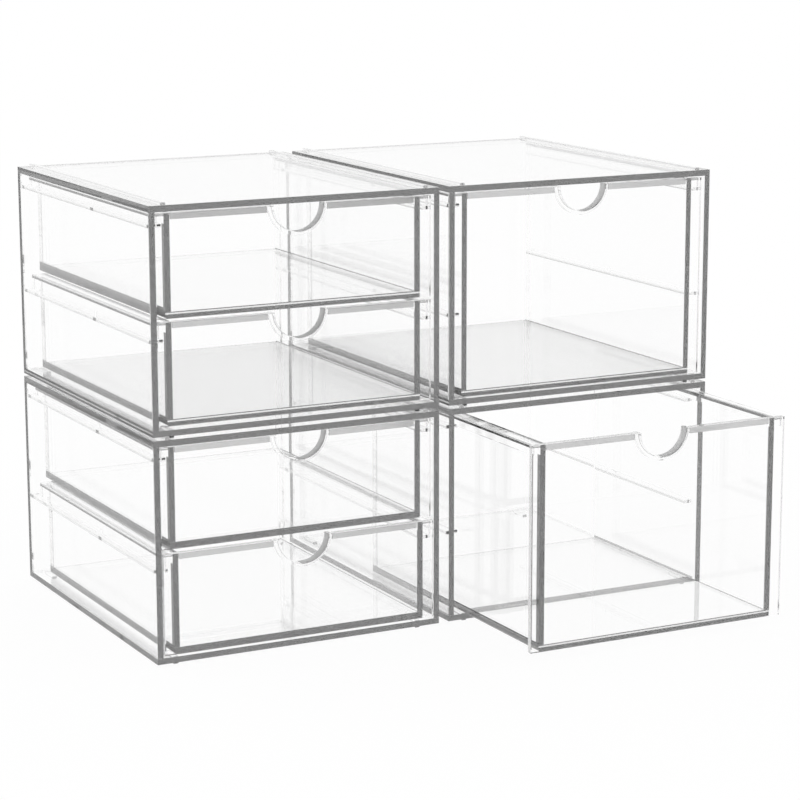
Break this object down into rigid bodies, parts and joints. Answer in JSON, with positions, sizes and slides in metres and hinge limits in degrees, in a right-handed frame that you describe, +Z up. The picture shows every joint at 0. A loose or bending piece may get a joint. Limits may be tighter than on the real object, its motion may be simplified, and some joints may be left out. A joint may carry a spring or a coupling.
{
  "type": "stackable desk drawer organizer set",
  "caption": "Set of clear acrylic stackable cases in columns with sliding shallow and deep drawers, each pulled by a half-round finger notch; one deep drawer stands open.",
  "frame": {"origin": "on the table, under the middle of the set as it stands with the lower right drawer pulled out", "axes": "+X along the fronts, from the stack of shallow drawers to the stack of deep drawers, +Y from the fronts to the backs, +Z up"},
  "size_m": [0.4776, 0.3972, 0.3442],
  "materials": {
    "case_sheet": "clear polished acrylic sheet",
    "drawer_sheet": "clear polished acrylic sheet",
    "drawer_front": "clear polished acrylic, with a pale lip and collar",
    "clear_strip": "clear acrylic strip"
  },
  "bodies": {
    "lower_left_case": {"lower_left_top_panel": "case_sheet", "lower_left_base_panel": "case_sheet", "lower_left_side_panels": "case_sheet", "lower_left_back_panel": "case_sheet", "lower_left_rails": "clear_strip", "lower_left_stacking_ridges": "clear_strip", "lower_left_feet": "clear_strip"},
    "lower_left_top_drawer": {"lower_left_top_drawer_front": "drawer_front", "lower_left_top_drawer_floor": "drawer_sheet", "lower_left_top_drawer_sides": "drawer_sheet", "lower_left_top_drawer_back": "drawer_sheet", "lower_left_top_drawer_runners": "clear_strip"},
    "lower_left_bottom_drawer": {"lower_left_bottom_drawer_front": "drawer_front", "lower_left_bottom_drawer_floor": "drawer_sheet", "lower_left_bottom_drawer_sides": "drawer_sheet", "lower_left_bottom_drawer_back": "drawer_sheet", "lower_left_bottom_drawer_runners": "clear_strip"},
    "lower_right_case": {"lower_right_top_panel": "case_sheet", "lower_right_base_panel": "case_sheet", "lower_right_side_panels": "case_sheet", "lower_right_back_panel": "case_sheet", "lower_right_rails": "clear_strip", "lower_right_stacking_ridges": "clear_strip", "lower_right_feet": "clear_strip"},
    "lower_right_drawer": {"lower_right_drawer_front": "drawer_front", "lower_right_drawer_floor": "drawer_sheet", "lower_right_drawer_sides": "drawer_sheet", "lower_right_drawer_back": "drawer_sheet", "lower_right_drawer_runners": "clear_strip"},
    "upper_left_case": {"upper_left_top_panel": "case_sheet", "upper_left_base_panel": "case_sheet", "upper_left_side_panels": "case_sheet", "upper_left_back_panel": "case_sheet", "upper_left_rails": "clear_strip", "upper_left_stacking_ridges": "clear_strip", "upper_left_feet": "clear_strip"},
    "upper_left_top_drawer": {"upper_left_top_drawer_front": "drawer_front", "upper_left_top_drawer_floor": "drawer_sheet", "upper_left_top_drawer_sides": "drawer_sheet", "upper_left_top_drawer_back": "drawer_sheet", "upper_left_top_drawer_runners": "clear_strip"},
    "upper_left_bottom_drawer": {"upper_left_bottom_drawer_front": "drawer_front", "upper_left_bottom_drawer_floor": "drawer_sheet", "upper_left_bottom_drawer_sides": "drawer_sheet", "upper_left_bottom_drawer_back": "drawer_sheet", "upper_left_bottom_drawer_runners": "clear_strip"},
    "upper_right_case": {"upper_right_top_panel": "case_sheet", "upper_right_base_panel": "case_sheet", "upper_right_side_panels": "case_sheet", "upper_right_back_panel": "case_sheet", "upper_right_rails": "clear_strip", "upper_right_stacking_ridges": "clear_strip", "upper_right_feet": "clear_strip"},
    "upper_right_drawer": {"upper_right_drawer_front": "drawer_front", "upper_right_drawer_floor": "drawer_sheet", "upper_right_drawer_sides": "drawer_sheet", "upper_right_drawer_back": "drawer_sheet", "upper_right_drawer_runners": "clear_strip"}
  },
  "joints": [
    {"name": "lower_left_top_drawer_slide", "type": "slide", "parent": "lower_left_case", "child": "lower_left_top_drawer", "axis": [0, -1, 0], "range_m": [0, 0.1277]},
    {"name": "lower_left_bottom_drawer_slide", "type": "slide", "parent": "lower_left_case", "child": "lower_left_bottom_drawer", "axis": [0, -1, 0], "range_m": [-0.0044, 0.1233]},
    {"name": "lower_right_drawer_slide", "type": "slide", "parent": "lower_right_case", "child": "lower_right_drawer", "axis": [0, -1, 0], "range_m": [-0.1204, 0.0073]},
    {"name": "upper_left_top_drawer_slide", "type": "slide", "parent": "upper_left_case", "child": "upper_left_top_drawer", "axis": [0, -1, 0], "range_m": [0, 0.1277]},
    {"name": "upper_left_bottom_drawer_slide", "type": "slide", "parent": "upper_left_case", "child": "upper_left_bottom_drawer", "axis": [0, -1, 0], "range_m": [0, 0.1277]},
    {"name": "upper_right_drawer_slide", "type": "slide", "parent": "upper_right_case", "child": "upper_right_drawer", "axis": [0, -1, 0], "range_m": [0, 0.1277]},
    {"name": "upper_left_case_lift", "type": "slide", "parent": "lower_left_case", "child": "upper_left_case", "axis": [0, 0, 1], "range_m": [0, 0.06]},
    {"name": "upper_right_case_lift", "type": "slide", "parent": "lower_right_case", "child": "upper_right_case", "axis": [0, 0, 1], "range_m": [0, 0.06]},
    {"name": "right_stack_shift", "type": "slide", "parent": "lower_left_case", "child": "lower_right_case", "axis": [1, 0, 0], "range_m": [0, 0.15]}
  ]
}
